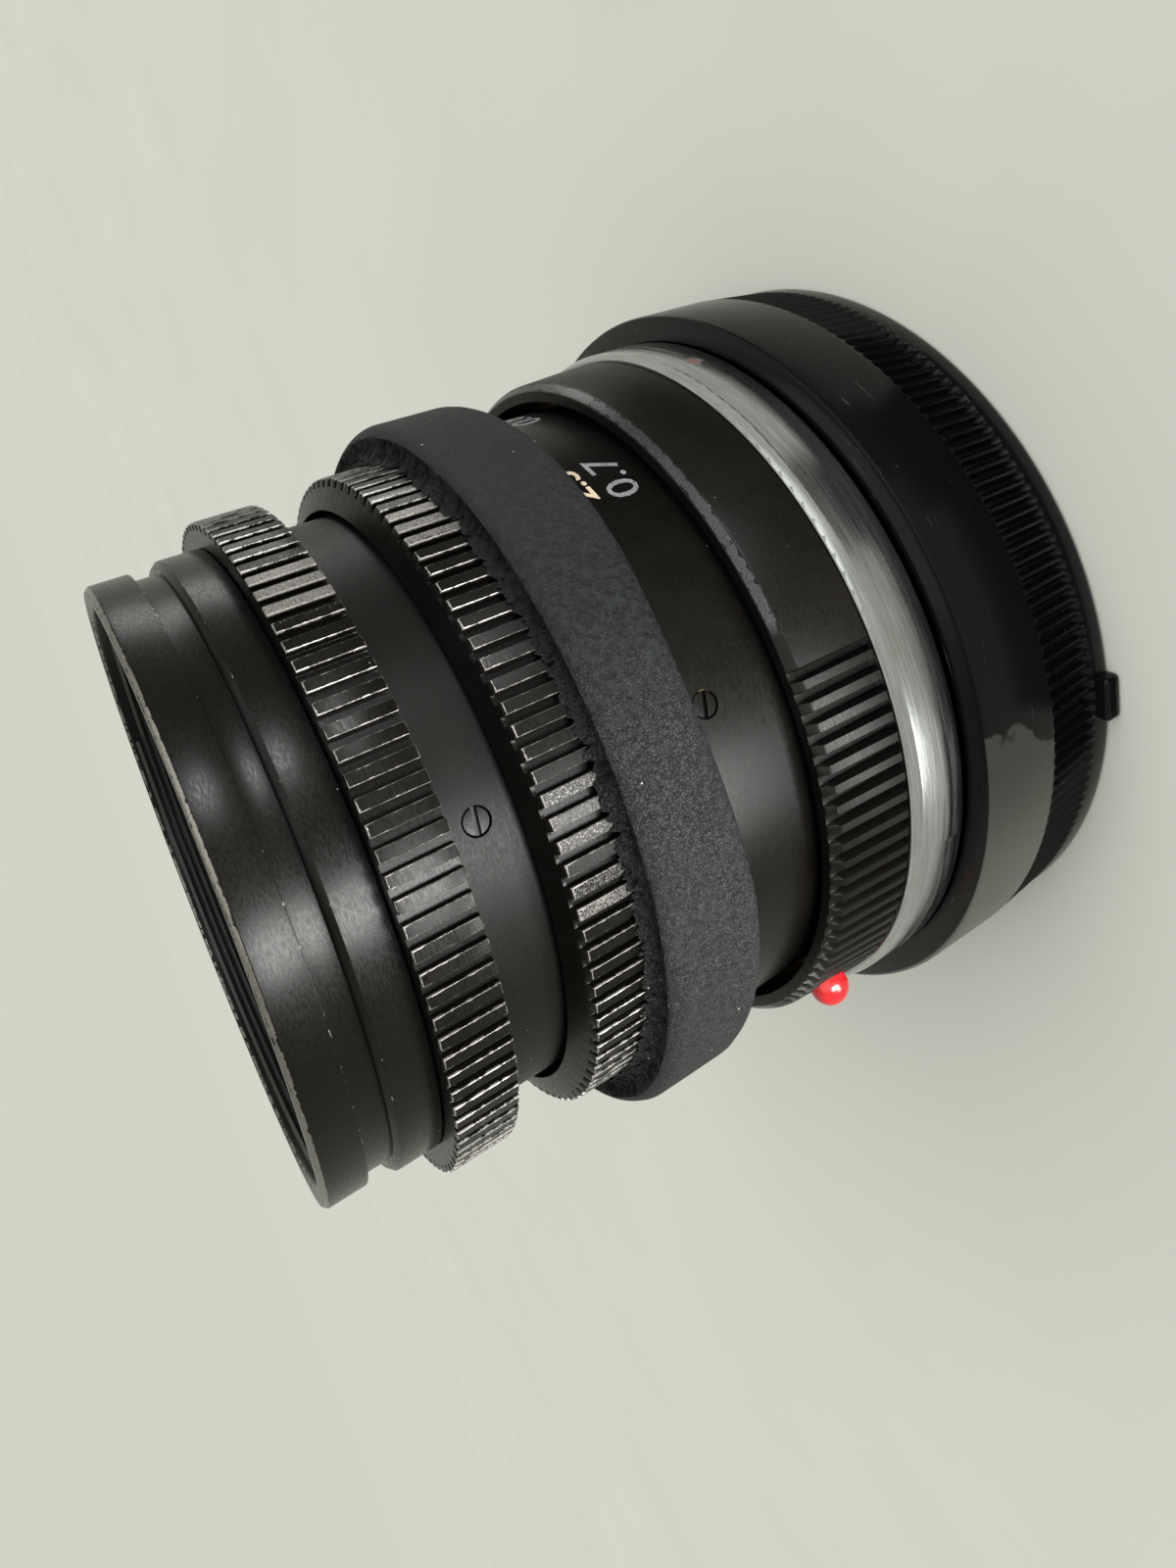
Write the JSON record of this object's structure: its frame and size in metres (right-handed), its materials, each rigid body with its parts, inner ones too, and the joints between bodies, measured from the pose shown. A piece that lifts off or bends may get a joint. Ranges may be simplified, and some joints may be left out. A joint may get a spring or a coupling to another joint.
{
  "type": "rangefinder camera lens",
  "caption": "Compact camera lens with ribbed aperture and focus rings, a rubber grip band, an iris, a bayonet flange with an alignment bead, and its rear cap on.",
  "frame": {"origin": "centre of the rear cap's back face, on which the lens stands", "axes": "+Z along the optical axis to the front rim, +Y towards the focus index"},
  "size_m": [0.0564, 0.056, 0.055],
  "materials": {
    "black_anodised": "black anodised, satin, worn bright on edges",
    "collar_black": "black enamel, worn to metal on the front chamfer and rib tips",
    "chrome_flange": "satin chrome, lightly scratched and stained",
    "cap_plastic": "moulded black, satin with a worn sheen",
    "band_rubber": "black rubber, frayed at the front edge",
    "bead_red": "red, polished",
    "helicoid_brass": "turned, greased",
    "cam_brass": "turned, satin",
    "cell_black": "matt black",
    "optical_glass": "polished, coated",
    "blade_steel": "blackened spring steel",
    "screw_black": "blackened, slots worn bright",
    "screw_steel": "turned steel"
  },
  "bodies": {
    "mount": {"mount_collar": "collar_black", "outer_helicoid": "helicoid_brass", "bayonet_flange": "chrome_flange", "flange_screws": "screw_steel", "alignment_bead": "bead_red", "guide_key": "screw_steel", "guide_key_screws": "screw_steel"},
    "head": {"front_barrel": "black_anodised", "trim_ring": "cell_black", "head_tube": "cell_black", "barrel_sleeve": "black_anodised", "barrel_screws": "screw_black", "front_cell": "cell_black", "front_group_ring": "cell_black", "front_doublet_ring": "cell_black", "front_element": "optical_glass", "second_element": "optical_glass", "third_element": "optical_glass", "iris_base_ring": "cell_black", "rear_cell": "cell_black", "rear_group_spacer": "cell_black", "rear_group_ring": "cell_black", "fourth_element": "optical_glass", "fifth_element": "optical_glass", "sixth_element": "optical_glass", "rangefinder_cam": "cam_brass", "click_ball": "screw_steel"},
    "focus": {"focus_ring": "black_anodised", "focus_helicoid": "helicoid_brass", "focus_ring_screws": "screw_black", "grip_band": "band_rubber"},
    "aperture": {"aperture_ring": "black_anodised", "iris_control_ring": "cell_black", "aperture_drive_screw": "screw_steel"},
    "blade_1": {"iris_blade_1": "blade_steel"},
    "blade_2": {"iris_blade_2": "blade_steel"},
    "blade_3": {"iris_blade_3": "blade_steel"},
    "blade_4": {"iris_blade_4": "blade_steel"},
    "blade_5": {"iris_blade_5": "blade_steel"},
    "blade_6": {"iris_blade_6": "blade_steel"},
    "blade_7": {"iris_blade_7": "blade_steel"},
    "blade_8": {"iris_blade_8": "blade_steel"},
    "cap": {"rear_cap": "cap_plastic"}
  },
  "joints": [
    {"name": "head_slide", "type": "slide", "parent": "mount", "child": "head", "axis": [0, 0, 1], "range_m": [0, 0.0044]},
    {"name": "focus_turn", "type": "hinge", "parent": "head", "child": "focus", "pos_m": [0, 0, 0.03], "axis": [0, 0, 1], "range_deg": [0, 195]},
    {"name": "aperture_turn", "type": "hinge", "parent": "head", "child": "aperture", "pos_m": [0, 0, 0.04595], "axis": [0, 0, 1], "range_deg": [0, 60]},
    {"name": "blade_1_turn", "type": "hinge", "parent": "head", "child": "blade_1", "pos_m": [0.0156, 0, 0.03576], "axis": [0, 0, 1], "range_deg": [0, 36]},
    {"name": "blade_2_turn", "type": "hinge", "parent": "head", "child": "blade_2", "pos_m": [0.01103, 0.01103, 0.03594], "axis": [0, 0, 1], "range_deg": [0, 36]},
    {"name": "blade_3_turn", "type": "hinge", "parent": "head", "child": "blade_3", "pos_m": [0, 0.0156, 0.03612], "axis": [0, 0, 1], "range_deg": [0, 36]},
    {"name": "blade_4_turn", "type": "hinge", "parent": "head", "child": "blade_4", "pos_m": [-0.01103, 0.01103, 0.0363], "axis": [0, 0, 1], "range_deg": [0, 36]},
    {"name": "blade_5_turn", "type": "hinge", "parent": "head", "child": "blade_5", "pos_m": [-0.0156, 0, 0.03648], "axis": [0, 0, 1], "range_deg": [0, 36]},
    {"name": "blade_6_turn", "type": "hinge", "parent": "head", "child": "blade_6", "pos_m": [-0.01103, -0.01103, 0.03666], "axis": [0, 0, 1], "range_deg": [0, 36]},
    {"name": "blade_7_turn", "type": "hinge", "parent": "head", "child": "blade_7", "pos_m": [0, -0.0156, 0.03684], "axis": [0, 0, 1], "range_deg": [0, 36]},
    {"name": "blade_8_turn", "type": "hinge", "parent": "head", "child": "blade_8", "pos_m": [0.01103, -0.01103, 0.03702], "axis": [0, 0, 1], "range_deg": [0, 36]},
    {"name": "cap_twist", "type": "hinge", "parent": "mount", "child": "cap", "pos_m": [0, 0, 0.006], "axis": [0, 0, -1], "range_deg": [0, 45]}
  ],
  "couplings": [
    {"joint": "focus_turn", "follows": "head_slide", "rad_per_m": 773.48},
    {"joint": "blade_1_turn", "follows": "aperture_turn", "ratio": 0.6},
    {"joint": "blade_2_turn", "follows": "aperture_turn", "ratio": 0.6},
    {"joint": "blade_3_turn", "follows": "aperture_turn", "ratio": 0.6},
    {"joint": "blade_4_turn", "follows": "aperture_turn", "ratio": 0.6},
    {"joint": "blade_5_turn", "follows": "aperture_turn", "ratio": 0.6},
    {"joint": "blade_6_turn", "follows": "aperture_turn", "ratio": 0.6},
    {"joint": "blade_7_turn", "follows": "aperture_turn", "ratio": 0.6},
    {"joint": "blade_8_turn", "follows": "aperture_turn", "ratio": 0.6}
  ]
}
